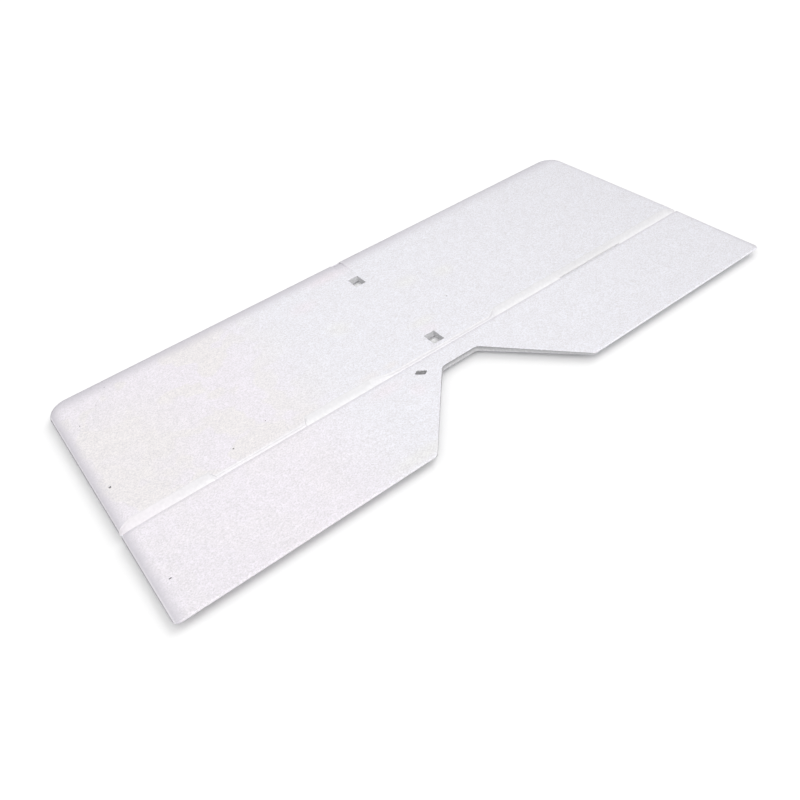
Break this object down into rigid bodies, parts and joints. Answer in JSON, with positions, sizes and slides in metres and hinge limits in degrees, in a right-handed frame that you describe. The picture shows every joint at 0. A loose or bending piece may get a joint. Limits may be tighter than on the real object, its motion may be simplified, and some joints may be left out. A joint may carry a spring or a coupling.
{
  "type": "model aeroplane horizontal tail",
  "caption": "Flat white foam tailplane for a model aeroplane, with an elevator on thin living hinges, a rudder notch, square tab holes on the centre line and a horn slot.",
  "frame": {"origin": "centre of the planform, on the flat underside", "axes": "+X towards the right tip, +Y towards the leading edge, +Z out of the upper face"},
  "size_m": [0.4, 0.182, 0.0045],
  "materials": {
    "foam": "moulded closed-cell foam, fine grain, matt",
    "hinge_foam": "compressed foam web, smooth and slightly translucent",
    "fibre_rod": "pultruded fibre rod, satin with fine lengthwise lines"
  },
  "bodies": {
    "stabiliser": {"stabiliser_panel": "foam", "stabiliser_spar": "fibre_rod", "hinge_web_outer_left": "hinge_foam", "hinge_web_inner_left": "hinge_foam", "hinge_web_inner_right": "hinge_foam", "hinge_web_outer_right": "hinge_foam"},
    "elevator": {"elevator_left": "foam", "elevator_bridge": "foam", "elevator_right": "foam", "elevator_joiner": "fibre_rod"}
  },
  "joints": [
    {"name": "elevator_hinge", "type": "hinge", "parent": "stabiliser", "child": "elevator", "pos_m": [0, -0.02785, 0.0004], "axis": [1, 0, 0], "range_deg": [-25, 25], "stiffness_Nm_per_rad": 0.02, "deforming": ["hinge_web_outer_left", "hinge_web_inner_left", "hinge_web_inner_right", "hinge_web_outer_right"]}
  ]
}
